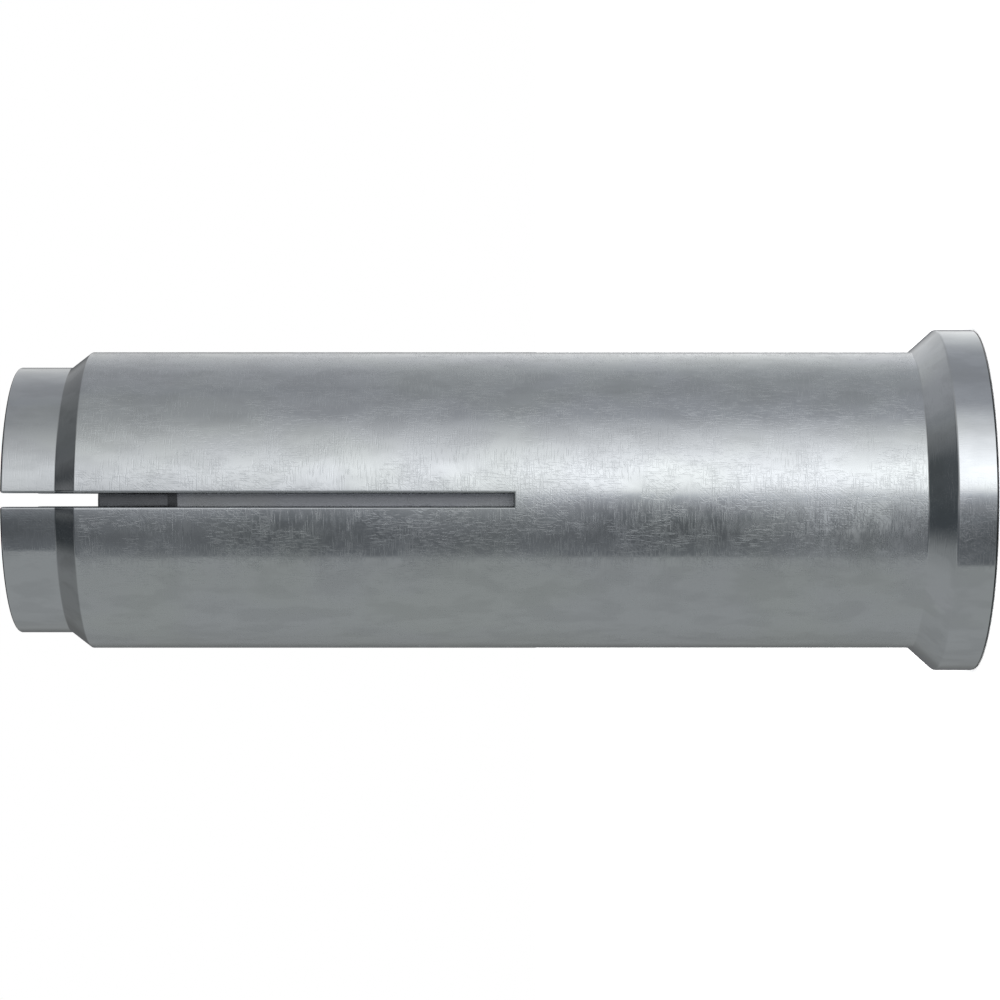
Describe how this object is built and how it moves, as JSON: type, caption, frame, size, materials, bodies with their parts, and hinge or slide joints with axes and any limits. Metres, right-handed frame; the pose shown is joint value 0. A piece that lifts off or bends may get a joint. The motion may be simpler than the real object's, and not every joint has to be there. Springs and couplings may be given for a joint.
{
  "type": "drop-in anchor",
  "caption": "Drop-in expansion anchor for concrete: rimmed steel sleeve with an internal M20 thread, a slotted tip and an inner plug that is hammered in to spread the tip.",
  "frame": {"origin": "centre of the rim's end face, the face with the threaded mouth, which the anchor stands on", "axes": "+Z along the anchor's axis, from the rim to the slotted tip; the saw cuts lie in the XZ and the YZ plane, and the picture's camera looks along +Y"},
  "size_m": [0.0286, 0.0286, 0.08],
  "materials": {
    "sleeve": "turned steel, bright zinc plating with a blue tone",
    "plug": "turned steel, plain"
  },
  "bodies": {
    "sleeve": {"anchor_sleeve": "sleeve"},
    "plug": {"expander_plug": "plug"}
  },
  "joints": [
    {"name": "plug_drive", "type": "slide", "parent": "sleeve", "child": "plug", "axis": [0, 0, 1], "range_m": [0, 0.0074], "deforming": ["anchor_sleeve"]}
  ]
}
